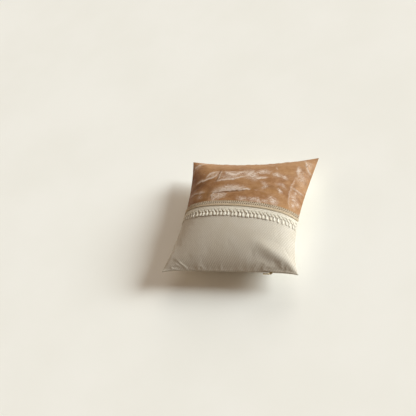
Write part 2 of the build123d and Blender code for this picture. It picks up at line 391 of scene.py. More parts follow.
def leather_wrinkles(t):
    """Shallow wrinkles across the leather half, longer from side to side than they are high."""
    height = np.zeros(t.shape)
    for along, across, rise in WRINKLES:
        field = blur(rng.normal(size=t.shape), along, across)
        height += rise * np.tanh(field / field.std() / 2)
    return height * smooth_steps(t, -0.02, 0.1)


def make_skins():
    """Front and back of the cover: the form, the cloth's ripples, and the folds of the face."""
    share = np.linspace(-1, 1, CELLS + 1)
    s, t = np.meshgrid(share, share)
    settled = (form(s, t, FRONT, edge=0), form(s, t, BACK, edge=0))
    settled = settle_cloth(*settled)
    inward = 1 - np.maximum(abs(s), abs(t))
    share = np.linspace(-1, 1, FINE_CELLS + 1)
    fine_s, fine_t = np.meshgrid(share, share)
    fine_inward = 1 - np.maximum(abs(fine_s), abs(fine_t))
    skins = []
    for side, cloth in zip((FRONT, BACK), settled):
        start = form(s, t, side, edge=0)
        ripples = relief(cloth, start, side) * smooth_steps(inward, 0, SEAM_BAND)
        fine = np.zeros(fine_s.shape)
        if side == FRONT:
            ripples *= np.interp(inward, (0.1, 0.35), (0.8, FACE_RELIEF))
            fine = folds(fine_s, fine_t) + leather_wrinkles(fine_t)
            fine *= smooth_steps(fine_inward, 0, SEAM_BAND)
        points = form(s, t, side) + lattice_normal(start, side) * ripples[..., None]
        points[..., 2] = np.maximum(points[..., 2], 0)
        skins.append(Skin(points, fine, side))
    return skins


front, back = make_skins()


# ---------------- places along the join
def join_share(s, below):
    """The share t that lies a distance below the braid's upper edge, at the share s."""
    s, below = np.broadcast_arrays(np.asarray(s, float), np.asarray(below, float))
    t, small = np.full(s.shape, -0.05), 1e-4
    for _ in range(6):
        here = form(s, t, FRONT)
        ahead = form(s, t + small, FRONT)
        miss = here[..., 1] - JOIN_SLOPE * here[..., 0] - (JOIN_Y - below)
        slope = (ahead[..., 1] - here[..., 1]) / small
        t = t - miss / slope
    return t


def on_join(along, below, height):
    """Points on the face: along in metres of cloth from the middle, below the edge, and height."""
    s = share_of(along)
    t = join_share(s, below)
    return front.at(s, t, height), front.normal(s, t)


# ---------------- cover panels
# Steps by which a panel's edge rolls into the seam: distance in from the edge, and height.
ROLL = ((0.25 * MM, 0.55 * MM), (0.9 * MM, 0.3 * MM), (2.5 * MM, 0.3 * MM))
PANEL_THICK = 1.0 * MM
THICK_SHARE = 0.45         # the most of its height over the seam that a panel's thickness takes
ROLL_GAP = 0.15 * MM       # between the two faces of a rolled edge
LIP_MARGIN = 2 * MM        # by which the open lips reach past the zip's coils


def with_rolls(shares, first, last):
    """Shares with the steps of a rolled edge added at either end, and each one's step, or -1."""
    steps = list(range(len(ROLL)))
    places = [-1] * len(steps) * first + list(shares) + [1] * len(steps) * last
    return places, np.array(steps[::-1] * first + [-1] * len(shares) + steps * last)


def panel(name, skin, s, t, rolls, slot, node, shift=None):
    """One panel of the cover over the shares s (columns) and t (rows). rolls says which of its
    left, right, low and high edges roll into the seam, and shift bends its rows."""
    left, right, low, high = rolls
    columns, column_roll = with_rolls(s, left, right)
    rows, row_roll = with_rolls(t, low, high)
    ss, tt = np.meshgrid(columns, rows)
    if shift:
        tt = shift(ss, tt)
    outer = skin.at(ss, tt)
    normal = skin.normal(ss, tt)
    above = np.maximum((outer[..., 2] - SEAM_Z) * skin.side, 0)
    inner = outer - normal * np.minimum(PANEL_THICK, THICK_SHARE * above)[..., None]
    lowest = outer[..., 2].min() + PANEL_THICK * (skin.side == BACK)
    inner[..., 2] = np.maximum(inner[..., 2], lowest)
    level = np.maximum(column_roll[None, :], row_roll[:, None])
    inset = np.array([0.0] + [r[0] for r in ROLL])
    rolled = level >= 0
    x_in = -np.sign(ss) * inset[column_roll + 1][None, :] * np.ones_like(tt)
    y_in = -np.sign(tt) * inset[row_roll + 1][:, None] * np.ones_like(ss)
    height = np.array([r[1] for r in ROLL])[np.maximum(level, 0)]
    on_zip = (row_roll >= 0)[:, None] & (tt < 0) & (abs(outer[..., 0]) < ZIP_HALF + LIP_MARGIN)
    height = np.where(on_zip, np.maximum(height, ZIP_LIP), height)
    for points, extra in ((outer, 0.0), (inner, ROLL_GAP)):
        points[..., 0] += np.where(rolled, x_in, 0)
        points[..., 1] += np.where(rolled, y_in, 0)
        points[..., 2] = np.where(rolled, SEAM_Z + skin.side * (height + extra), points[..., 2])
    return sheet_piece(name, outer, inner, skin.side, flat_of(ss), flat_of(tt), slot, node)


def bunched(low, high, count):
    """Shares from low to high, at even distances on the cloth."""
    return share_of(np.linspace(flat_of(low), flat_of(high), count))


def front_panels():
    """The leather and twill panels, which meet along the join, and the leather's flat places."""
    s = bunched(-1, 1, 280)

    def to_join(low, high):
        """Bends the rows between two plain shares so that the one at the join follows it."""
        def shift(ss, tt):
            join = join_share(np.clip(ss, -1, 1), LEATHER_LAP)
            share = (tt - low) / (high - low)
            if high == 1:
                return np.where(tt >= 1, 1.0, join + (1 - join) * share)
            return np.where(tt <= -1, -1.0, -1 + (join + 1) * share)
        return shift

    leather, flat = panel("leather_panel", front, s, bunched(0, 1, 146), (1, 1, 0, 1),
                          "leather", "front_upper_panel", to_join(0, 1))
    twill, _ = panel("twill_panel", front, s, bunched(-1, 0, 140), (1, 1, 1, 0),
                     "twill", "front_lower_panel", to_join(-1, 0))
    return leather, flat, twill


leather, leather_flat, twill = front_panels()
back_cover, _ = panel("back_cover", back, bunched(-1, 1, 150), bunched(-1, 1, 150), (1, 1, 1, 1),
                      "back_cloth", "back_panel")


# ---------------- yarns
def yarn_frames(lines, ups):
    """Sideways and outward directions at each point of the lines, and the length run so far."""
    tangent = unit(np.gradient(lines, axis=1))
    side = unit(np.cross(tangent, ups))
    steps = np.linalg.norm(np.diff(lines, axis=1), axis=-1)
    length = np.concatenate([np.zeros((len(lines), 1)), np.cumsum(steps, axis=1)], axis=1)
    return side, np.cross(side, tangent), length


def plies(lines, ups, radius, pitch, count=2, flat=1.0):
    """Lines of the plies that twist round each line, with the directions out from the face."""
    side, out, length = yarn_frames(lines, ups)
    twisted = []
    for k in range(count):
        turn = 2 * np.pi * (length / pitch + k / count)[..., None]
        twisted.append(lines + radius * (np.cos(turn) * side + flat * np.sin(turn) * out))
    return np.concatenate(twisted), np.concatenate([np.broadcast_to(ups, lines.shape)] * count)


class Yarns:
    """Round yarns gathered into one mesh. Each has a tone, from 0, dark, to 1, pale."""

    def __init__(self):
        self.verts, self.faces, self.uv, self.tone = [], [], [], []
        self.count = 0

    def add(self, lines, ups, radius, tone=0.5, sides=6, flat=1.0):
        lines = np.asarray(lines, float)
        count, points = lines.shape[:2]
        side, out, length = yarn_frames(lines, ups)
        angle = np.arange(sides) * 2 * np.pi / sides
        across = np.cos(angle)[:, None] * side[:, :, None]
        across = across + flat * np.sin(angle)[:, None] * out[:, :, None]
        radius = np.broadcast_to(radius, (count, points))[..., None, None]
        index = np.arange(count * points * sides).reshape(count, points, sides) + self.count
        after = np.roll(index, -1, axis=2)
        walls = np.stack([index[:, :-1], index[:, 1:], after[:, 1:], after[:, :-1]], -1)
        turn = np.broadcast_to(np.arange(sides) / sides, index.shape)
        place = np.stack([np.broadcast_to(length[..., None], index.shape), turn], -1)
        beyond = place + (0, 1 / sides)
        wall_uv = np.stack([place[:, :-1], place[:, 1:], beyond[:, 1:], beyond[:, :-1]], -2)
        self.verts.append((lines[:, :, None] + radius * across).reshape(-1, 3))
        self.faces += walls.reshape(-1, 4).tolist()
        self.faces += index[:, 0].tolist() + index[:, -1, ::-1].tolist()
        self.uv += [part.reshape(-1, 2) for part in (wall_uv, place[:, 0], place[:, -1, ::-1])]
        self.tone.append(np.broadcast_to(np.reshape(tone, (-1, 1, 1)), index.shape).ravel())
        self.count += index.size

    def piece(self, name, slot, node):
        made = add_mesh(name, np.concatenate(self.verts), self.faces, np.concatenate(self.uv),
                        node)
        add_attribute(made, "tone", np.concatenate(self.tone))
        return made


# ---------------- trims across the join
TRIM_END = CUT_HALF - 0.8 * MM      # the trims run into the side seams
LOOP_PITCH = 7.4 * MM               # one bar of the braid's openwork to the next
PLAIT_PITCH = 15 * MM
PLAIT_MIDDLE = 15.1 * MM
BRAID_END = 19.4 * MM
# Cords along the braid: below its upper edge and radius in millimetres, and tone.
BRAID_CORDS = ((0.9, 0.5, 0.6), (5.2, 0.6, 0.9), (6.4, 0.6, 0.8), (10.4, 0.55, 0.9), (11.5, 0.5, 0.75),
               (18.4, 0.6, 0.8))
BRAID_BARS = ((0.9, 5.6, 0.0, 0.85), (5.9, 10.6, 0.5, 0.8))     # from, to, shift in pitches, tone
BAR_STRANDS = (-1, 0, 1)
BAR_SPREAD = (0.8 * MM, 1.15 * MM)  # between a bar's strands at its top and bottom
BAR_HEIGHT, BAR_ARCH, BAR_RADIUS = 1.0 * MM, 0.35 * MM, 0.52 * MM
CORD_HEIGHT, CORD_TWIST = 1.15 * MM, 3.2 * MM
SCALLOP = 0.4 * MM                  # by which the upper edge's cord waves up and down
DARK_THREAD = (0.95 * MM, 0.35 * MM, 0.35)      # height, radius and tone of the braid's last thread
PLAIT_SWING, PLAIT_GAP = 1.7 * MM, 0.95 * MM    # of a strand to each side, and between its yarns
PLAIT_HEIGHT, PLAIT_LIFT, PLAIT_RADIUS = 1.05 * MM, 0.5 * MM, 0.55 * MM
PLAIT_TONES = (0.6, 0.8, 0.5)
STITCH = 3.0 * MM
STITCH_PITCH = 4.4 * MM
BRAID_STITCH = (1.5 * MM, 18.0 * MM)
SLANT = 0.9                         # run along the join for each length down it, in the heading
HOOK = 0.22                         # how far aside a tuft starts from where it hangs, in pitches
PLUMB, HANG = 50 * MM, 0.02         # where a tuft hangs straight, and how far the others fan out
TUFT_PITCH = 2 * TRIM_END / TUFT_COUNT
TUFT_RINGS = ((0.0, 1), (0.5, 6), (1.0, 12))     # radius and number of strands
TUFT_SIZES = ((0.5 * TRIM_END, 0.85 * TRIM_END), (1.1, 0.6))     # out from the middle, and size there
TUFT_LIFT = 0.4 * MM                # by which a tuft's middle stands over its ends


def run_along(step):
    return np.linspace(-TRIM_END, TRIM_END, int(2 * TRIM_END / step) + 1)


def line_on_join(along, below, height):
    """One line, as a batch of one."""
    points, normals = on_join(along, below, height)
    return points[None], normals[None]


def short_lines(starts, ends, height, points=7):
    """Straight yarns on the face from starts to ends: many places along the join, and one below."""
    share = np.linspace(0, 1, points)
    along = starts[0][:, None] + (ends[0] - starts[0])[:, None] * share
    below = starts[1] + (ends[1] - starts[1]) * share
    return on_join(along, below, height)


def join_braid():
    """Openwork gimp: two rows of bars between cords, and a plaited band below them."""
    yarns = Yarns()
    along = run_along(0.9 * MM)
    scallop = SCALLOP * np.cos(2 * np.pi * along / LOOP_PITCH)
    for below, radius, tone in BRAID_CORDS:
        wave = scallop if below < 1 else 0
        line, ups = line_on_join(along, below * MM + wave, CORD_HEIGHT)
        twisted, ups = plies(line, ups, 0.5 * radius * MM, CORD_TWIST)
        yarns.add(twisted, ups, 0.62 * radius * MM, tone)
    height, radius, tone = DARK_THREAD
    line, ups = line_on_join(along, BRAID_END, height)
    yarns.add(line, ups, radius, tone)
    bars = np.arange(-TRIM_END + LOOP_PITCH / 2, TRIM_END, LOOP_PITCH)
    height = BAR_HEIGHT + BAR_ARCH * np.sin(np.linspace(0, np.pi, 7))
    for top, bottom, shift, tone in BRAID_BARS:
        place = bars + shift * LOOP_PITCH
        place = place[place < TRIM_END - 1 * MM]
        for lean in BAR_STRANDS:
            start = (place + lean * BAR_SPREAD[0], top * MM)
            end = (place + lean * BAR_SPREAD[1], bottom * MM)
            lines, ups = short_lines(start, end, height)
            yarns.add(lines, ups, BAR_RADIUS, tone + rng.normal(0, 0.06, len(lines)))
    for strand, tone in enumerate(PLAIT_TONES):
        turn = 2 * np.pi * (along / PLAIT_PITCH + strand / len(PLAIT_TONES))
        for fibre in (-1, 0, 1):
            below = PLAIT_MIDDLE + PLAIT_SWING * np.sin(turn) + fibre * PLAIT_GAP
            height = PLAIT_HEIGHT + PLAIT_LIFT * np.sin(2 * turn)
            line, ups = line_on_join(along, below, height)
            yarns.add(line, ups, PLAIT_RADIUS, tone)
    return yarns.piece("braid_cords", "braid", "join_braid")


def fringe_tape(base=0.2 * MM, thick=0.75 * MM, rows=12):
    """Closed woven strip along the join that the fringe hangs from."""
    aa, bb = np.meshgrid(run_along(1.2 * MM), np.linspace(TAPE[1], TAPE[0], rows))
    edge = np.sin(np.pi * np.linspace(0, 1, rows))[:, None] ** 0.35
    ripple = 0.12 * MM * np.sin(aa / (3.1 * MM) + 2 * np.sin(aa / (17 * MM)))
    outer, _ = on_join(aa, bb, base + thick * edge + ripple * edge)
    inner, _ = on_join(aa, bb, base * np.ones_like(aa))
    return sheet_piece("fringe_tape_weave", outer, inner, FRONT, aa, -bb, "tape", "fringe_tape",
                       padded=False)[0]


def stitch_row(name, below, height, node, dip=0.55 * MM):
    """A line of separate stitches, each a short thread whose ends dip into the cloth."""
    yarns = Yarns()
    place = np.arange(-TRIM_END + STITCH_PITCH, TRIM_END - STITCH_PITCH, STITCH_PITCH)
    arch = np.sin(np.linspace(0.12, np.pi - 0.12, 7)) ** 0.6
    lines, ups = short_lines((place, below), (place + STITCH, below), height - dip + dip * arch)
    yarns.add(lines, ups, 0.28 * MM, 0.6 + rng.normal(0, 0.05, len(lines)))
    return yarns.piece(name, "thread", node)


def fringe_heading(places):
    """Slanted two-ply yarns that run from the tape down to the tufts, three to a tuft."""
    yarns = Yarns()
    near, far = HEADING
    reach = SLANT * (far - near)
    for offset, tone in ((-0.34, 0.8), (0.0, 0.9), (0.34, 1.0)):
        foot = places + (offset * 0.5 - HOOK) * TUFT_PITCH
        head = places + (offset - HOOK) * TUFT_PITCH - reach
        lines, ups = short_lines((head, near), (foot, far), 1.0 * MM, 15)
        twisted, ups = plies(lines, ups, 0.6 * MM, 5.5 * MM, flat=0.6)
        yarns.add(twisted, ups, 0.74 * MM, tone + rng.normal(0, 0.08, len(twisted)), sides=8)
    line, ups = line_on_join(run_along(1.0 * MM), near + 0.3 * MM, 1.2 * MM)
    twisted, ups = plies(line, ups, 0.35 * MM, 3 * MM)
    yarns.add(twisted, ups, 0.42 * MM, 0.9)
    return yarns.piece("heading_yarns", "fringe", "fringe_heading")


def fringe_tufts(places):
    """Each tuft is a brush of strands that hooks out of the heading, swells and ends in a blunt cut."""
    yarns = Yarns()
    near, far = TUFTS
    share = np.linspace(0, 1, 13)
    for place in places:
        size = np.interp(abs(place), *TUFT_SIZES)
        size = size * rng.uniform(0.72, 1.3)
        length = (far - near) * rng.uniform(0.88, 1.06)
        tone = np.clip(rng.normal(0.9, 0.14), 0.5, 1)
        offsets = np.array([(r * np.cos(a), r * np.sin(a)) for r, n in TUFT_RINGS
                            for a in np.arange(n) * 2 * np.pi / n + rng.uniform(0, 6)])
        wander = rng.normal(0, 0.25 * MM, (len(offsets), 1)) * share**2
        cut = length * (1 + rng.normal(0, 0.035, (len(offsets), 1)))
        hook = -HOOK * TUFT_PITCH * (1 - smooth_steps(share, 0.0, 0.35))
        hook = hook + ((place - PLUMB) * HANG + rng.normal(0, 1.2 * MM)) * share
        swell = 0.85 + 2.4 * smooth_steps(share, 0.1, 0.75) - 0.35 * smooth_steps(share, 0.85, 1.0)
        swell = swell * MM * size
        along = place + hook + offsets[:, :1] * swell + wander
        below = near - 0.8 * MM + cut * share
        height = 1.05 * MM + TUFT_LIFT * np.sin(np.pi * share**0.8) + offsets[:, 1:] * 0.32 * swell
        lines, ups = on_join(along, below, np.maximum(height, 0.45 * MM))
        radius = (0.36 + 0.3 * smooth_steps(share, 0.1, 0.7)) * MM
        radius = radius * np.where(share == 1, 0.6, 1) * size**0.5
        yarns.add(lines, ups, radius, tone + rng.normal(0, 0.05, len(offsets)), sides=5)
    return yarns.piece("tuft_strands", "fringe", "fringe_tufts")


def trims():
    """All the pieces on the join, by the kind of yarn that they are made of."""
    places = (np.arange(TUFT_COUNT) + 0.5) * TUFT_PITCH - TRIM_END
    places = places + rng.normal(0, 0.9 * MM, TUFT_COUNT)
    return {
        "braid": [join_braid()],
        "tape": [fringe_tape()],
        "fringe": [fringe_heading(places), fringe_tufts(places)],
        "thread": [
            stitch_row("braid_upper_stitches", BRAID_STITCH[0], 1.9 * MM, "braid_upper_stitching"),
            stitch_row("braid_lower_stitches", BRAID_STITCH[1], 1.9 * MM, "braid_lower_stitching"),
            stitch_row("fringe_stitches", TAPE[0] + 1.5 * MM, 1.2 * MM, "fringe_stitching"),
            stitch_row("join_stitches", LEATHER_LAP, -1.3 * MM, "join_seam_thread", dip=0.3 * MM),
        ],
    }


trim = trims()


# ---------------- zip coils
COIL_PITCH = 1.3 * MM
COIL_WIRE = 0.22 * MM               # radius
COIL_STEPS = 12                     # points to a turn


def zip_coil(node):
    """A nylon coil: one round thread wound into loops round a core along the lip."""
    low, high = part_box(node)
    middle = (low + high) / 2
    radius = (high.z - low.z) / 2
    turns = int((high.x - low.x) / COIL_PITCH)
    turn = np.linspace(0, turns, turns * COIL_STEPS + 1)
    x = low.x + (high.x - low.x) * turn / turns
    angle = 2 * np.pi * turn
    loop = radius - COIL_WIRE
    line = np.stack([x, middle.y + loop * np.cos(angle), middle.z + loop * np.sin(angle)], -1)
    outward = np.stack([0 * x, np.cos(angle), np.sin(angle)], -1)
    yarns = Yarns()
    yarns.add(line[None], outward[None], COIL_WIRE, 0.6)
    x = x[::COIL_STEPS]
    core = np.stack([x, 0 * x + middle.y, 0 * x + middle.z], -1)
    yarns.add(core[None], np.array([[[0, 0, 1.0]]]), radius - 2 * COIL_WIRE, 0.4)
    return yarns.piece(node + "_loops", "zip_coil", node)


coils = [zip_coil(node) for node in ("zip_coil_front", "zip_coil_back")]


# ---------------- insert
INSERT_HALF = (203 * MM, 200 * MM)
INSERT_Y = 3 * MM
INSERT_GAP = 4.6 * MM               # between the cover's form and the ticking
TICKING_THICK = 0.6 * MM
FILL_GAP = 6.6 * MM
FILL_INSET = 10 * MM
PUCKER, LUMP = 0.5 * MM, 1.2 * MM   # height of the ticking's puckers and of the filling's lumps


def insert_half(name, side, node, rows=70):
    """Crowned shell of ticking inside the cover."""
    share = bunched(-1, 1, rows)
    ss, tt = np.meshgrid(share, share)
    outer = form(ss, tt, side, *INSERT_HALF, INSERT_Y, RISE[side] - INSERT_GAP, TICKING_THICK)
    puckers = PUCKER * np.sin(42 * ss) * np.sin(37 * tt + 9 * ss) * fullness(ss, tt) ** 0.3
    outer[..., 2] -= side * abs(puckers)
    inner = outer.copy()
    inner[..., 2] -= side * np.minimum(TICKING_THICK, 0.5 * abs(outer[..., 2] - SEAM_Z))
    if side == BACK:
        lowest = CAD_BOX[0][2] + INSERT_GAP
        outer[..., 2] = np.maximum(outer[..., 2], lowest)
        inner[..., 2] = np.maximum(inner[..., 2], lowest + TICKING_THICK)
    return sheet_piece(name, outer, inner, side, flat_of(ss), flat_of(tt), "ticking", node)[0]


def insert_fill(rows=56):
    """The fibre filling, one lumpy closed body a little smaller than the ticking."""
    share = bunched(-1, 1, rows)
    ss, tt = np.meshgrid(share, share)
    half_x, half_y = (half - FILL_INSET for half in INSERT_HALF)
    lumps = (np.sin(31 * ss + 3 * tt) * np.sin(29 * tt - 4 * ss)) ** 2
    lumps = LUMP * lumps * fullness(ss, tt) ** 0.5
    halves = []
    for side in (FRONT, BACK):
        points = form(ss, tt, side, half_x, half_y, INSERT_Y, RISE[side] - FILL_GAP, 0.4 * MM)
        points[..., 2] -= side * lumps
        points[..., 2] = np.maximum(points[..., 2], FILL_GAP)
        halves.append(points)
    return sheet_piece("fibre_fill", *halves, FRONT, flat_of(ss), flat_of(tt),
                       "fibre", "insert_filling")[0]


ticking = [insert_half("insert_front_ticking", FRONT, "insert_front_panel"),
           insert_half("insert_back_ticking", BACK, "insert_back_panel")]
fill = insert_fill()


# ---------------- wear of the leather, painted sheen and painted crease shade
# Where the wax is rubbed pale (partly painted sheen) or creased (painted shade): points on the flat leather
# in millimetres, the width of the mark (or its widths to the left and right of the path), and its strength.
RUB_AND_SHEEN_LINES = (
    (((-141, 127), (-130, 142), (-115, 149), (-101, 150)), 4, 9, 0.8),
    (((-174, 102), (-157, 109), (-141, 108), (-121, 114), (-106, 122), (-99, 136)), 8, 3, 0.95),
    (((-90, 147), (-90, 97)), 6, 2, 0.8),
    (((-88, 146), (-50, 144), (-20, 141), (6, 141)), 2.5, 6, 0.6),
    (((-70, 141), (-55, 129), (-37, 122), (-20, 127), (0, 137)), 10, 4, 1.0),
    (((-88, 96), (-73, 101), (-50, 100), (-26, 103), (-3, 110), (8, 116)), 6, 2.6, 1.0),
    (((46, 104), (62, 102), (84, 107)), 7, 3.5, 0.9),
    (((104, 168), (109, 148)), 3, 3, 0.5),
    (((-88, 46), (-60, 46), (-20, 48), (14, 48)), 13, 2, 1.0),
    (((-60, 62), (-30, 63), (0, 60), (20, 54)), 4, 9, 0.75),
    (((8, 51), (24, 51), (40, 50)), 4, 2.6, 0.95),
    (((-76, 50), (-90, 46), (-95, 34), (-91, 16)), 8, 2.6, 0.95),
    (((-214, 57), (-185, 57), (-150, 54), (-128, 49)), 4.5, 3, 0.7),
    (((172, 168), (179, 148), (181, 134)), 8, 5, 0.7),
    (((181, 134), (175, 110), (172, 84), (171, 60), (173, 33), (182, 0)), 5, 3, 0.4),
    (((172, 80), (195, 74), (222, 70)), 2, 8, 0.45),
    (((182, 213), (192, 190), (202, 168), (219, 150)), 4, 4, 0.7),
    (((-215, 164), (-208, 184), (-190, 199), (-164, 212)), 6, 6, 0.65),
)
RUB_AND_SHEEN_PATCHES = (
    (((-85, 124), (-45, 112), (0, 124)), 16, 0.6),
    (((10, 137), (28, 124), (46, 108)), 18, 1.0),
    (((45, 134), (62, 139), (86, 137)), 12, 0.8),
    (((105, 127), (124, 122)), 9, 0.9),
    (((134, 121), (148, 110)), 8, 0.75),
    (((-130, 132), (-106, 132)), 13, 0.55),
    (((-80, 56), (-40, 60), (14, 56)), 14, 12, 0.8),
    (((-88, 30), (-70, 27), (-48, 28)), 13, 1.0),
    (((-94, 14), (-70, 10)), 10, 0.7),
    (((-157, 56), (-134, 53)), 7, 0.75),
    (((-154, 39), (-138, 31)), 8, 0.65),
    (((8, 13), (36, 6)), 10, 0.75),
    (((46, 10), (72, 7)), 9, 0.8),
    (((75, 11), (82, -3)), 7, 1.0),
    (((92, 6), (112, 2)), 9, 0.65),
    (((115, 19), (137, 1)), 11, 0.85),
    (((76, 86), (92, 71), (82, 57)), 8, 0.6),
    (((122, 85), (140, 82), (152, 69)), 7, 0.55),
    (((136, 61), (145, 47)), 6, 0.8),
    (((184, 150), (194, 128), (202, 106)), 20, 0.45),
    (((188, 62), (195, 59)), 6, 0.6),
    (((186, 50), (190, 38), (198, 27)), 11, 0.6),
    (((200, 31), (214, 20)), 9, 0.55),
    (((190, 20), (200, 4)), 8, 0.55),
    (((196, 196), (208, 176)), 13, 0.5),
    (((-205, 178), (-186, 194)), 12, 0.4),
)
# Painted shade in the leather's creases and fold valleys.
CREASE_SHADES = (
    (((-96, 152), (-96, 94)), 6, 0.42),
    (((-96, 41), (-60, 40), (-20, 42), (20, 44)), 2.6, 0.6),
    (((-108, 64), (-106, 18)), 10, 0.4),
    (((-194, 77), (-166, 86), (-142, 96)), 10, 0.55),
    (((-218, 128), (-190, 122), (-160, 124)), 16, 0.3),
    (((-100, 160), (-40, 154), (40, 150)), 8, 0.2),
    (((60, 62), (110, 66), (150, 60)), 9, 0.2),
    (((-195, 20), (-140, 14), (-112, 12)), 9, 0.3),
    (((186, 92), (182, 84), (186, 72)), 5, 0.35),
)


def marks(paths, x, y, halo=0.0):
    """How strong the marks are at each place: strongest on a path, with a faint halo round it."""
    value = np.zeros(x.shape)
    wander_x = 1.3 * np.sin(y / 5.1 + x / 17) + 0.7 * np.sin(y / 2.3)
    wander_y = 1.1 * np.sin(x / 6.3) + 0.6 * np.sin(x / 2.7)
    for path, *widths, strength in paths:
        gap, left, share = distance_to(path, x + wander_x, y + wander_y)
        ratio = gap / np.where(left, widths[0], widths[-1])
        rub = np.exp(-ratio ** 2) + halo * np.exp(-(ratio / 2.6) ** 2)
        value = np.maximum(value, strength * rub * (0.6 + 0.4 * np.sin(np.pi * share)))
    return value


# Masks of the pale marks, partly wear and partly painted sheen, and of the painted crease shade.
leather_x, leather_y = leather_flat.T / MM
for layer, paths, halo in (("lines", RUB_AND_SHEEN_LINES, 0.22), ("patches", RUB_AND_SHEEN_PATCHES, 0.25),
                           ("crease_shade", CREASE_SHADES, 0)):
    add_attribute(leather, layer, marks(paths, leather_x, leather_y, halo))
# Painted shade on the leather under the braid, which shows darker through the braid's openwork.
place = np.array([v.co for v in leather.data.vertices])
below_braid = JOIN_Y + JOIN_SLOPE * place[:, 0] - place[:, 1]
add_attribute(leather, "painted_shade_under_braid", smooth_steps(below_braid, -0.3 * MM, 1.2 * MM))


# ---------------- materials
def tint(red, green, blue):
    """Linear colour of a display colour given from 0 to 255."""
    share = np.array([red, green, blue]) / 255
    linear = np.where(share <= 0.04045, share / 12.92, ((share + 0.055) / 1.055) ** 2.4)
    return (*linear.tolist(), 1.0)


class Finish:
    """One material. Its calls add a node each and return the node's output."""

    def __init__(self, name, **values):
        self.material = bpy.data.materials.new(name)
        self.material.use_nodes = True
        self.tree = self.material.node_tree
        self.shader = self.tree.nodes["Principled BSDF"]
        for socket, value in values.items():
            self.shader.inputs[socket.replace("_", " ")].default_value = value

    def node(self, kind, inputs, output=0, **settings):
        made = self.tree.nodes.new("ShaderNode" + kind)
        for key, value in settings.items():
            setattr(made, key, value)
        for key, value in inputs.items():
            if isinstance(value, bpy.types.NodeSocket):
                self.tree.links.new(value, made.inputs[key])
            else:
                made.inputs[key].default_value = value
        return made.outputs[output]

    def math(self, operation, a, b=0.0):
        return self.node("Math", {0: a, 1: b}, operation=operation)

    def add(self, a, b):
        return self.math("ADD", a, b)

    def times(self, a, b):
        return self.math("MULTIPLY", a, b)

    def most(self, a, b):
        return self.math("MAXIMUM", a, b)

    def flat(self, turn=0.0, stretch=(1, 1, 1)):
        """Place on the flat cloth in metres, turned and stretched."""
        place = self.node("UVMap", {}, uv_map="Cloth")
        return self.node("Mapping", {"Vector": place, "Rotation": (0, 0, turn), "Scale": stretch})

    def solid(self, stretch=(1, 1, 1)):
        """Place in the object in metres, stretched."""
        place = self.node("TexCoord", {}, 3)
        return self.node("Mapping", {"Vector": place, "Scale": stretch})

    def attribute(self, name):
        return self.node("Attribute", {}, 2, attribute_name=name)

    def noise(self, place, scale, detail=3.0, roughness=0.5, distortion=0.0):
        return self.node("TexNoise", {"Vector": place, "Scale": scale, "Detail": detail,
                                      "Roughness": roughness, "Distortion": distortion})

    def wave(self, value, pitch):
        """1 on the crest and 0 in the valley of a ripple of that pitch."""
        turn = self.times(value, 2 * math.pi / pitch)
        return self.node("Math", {0: self.math("SINE", turn), 1: 0.5, 2: 0.5}, operation="MULTIPLY_ADD")

    def axes(self, place):
        split = self.node("SeparateXYZ", {"Vector": place})
        return split, split.node.outputs[1]

    def remap(self, value, low, high, to_low=0.0, to_high=1.0):
        inputs = {"Value": value, "From Min": low, "From Max": high, "To Min": to_low, "To Max": to_high}
        return self.node("MapRange", inputs, interpolation_type="SMOOTHSTEP")

    def mix(self, share, first, second, blend="MIX"):
        return self.node("MixRGB", {"Fac": share, "Color1": first, "Color2": second}, blend_type=blend)

    def bump(self, height, distance, strength=1.0, under=None):
        inputs = {"Height": height, "Distance": distance, "Strength": strength}
        if under is not None:
            inputs["Normal"] = under
        return self.node("Bump", inputs)

    def done(self, colour, roughness, normal):
        for socket, value in (("Base Color", colour), ("Roughness", roughness), ("Normal", normal)):
            self.tree.links.new(value, self.shader.inputs[socket])
        return self.material


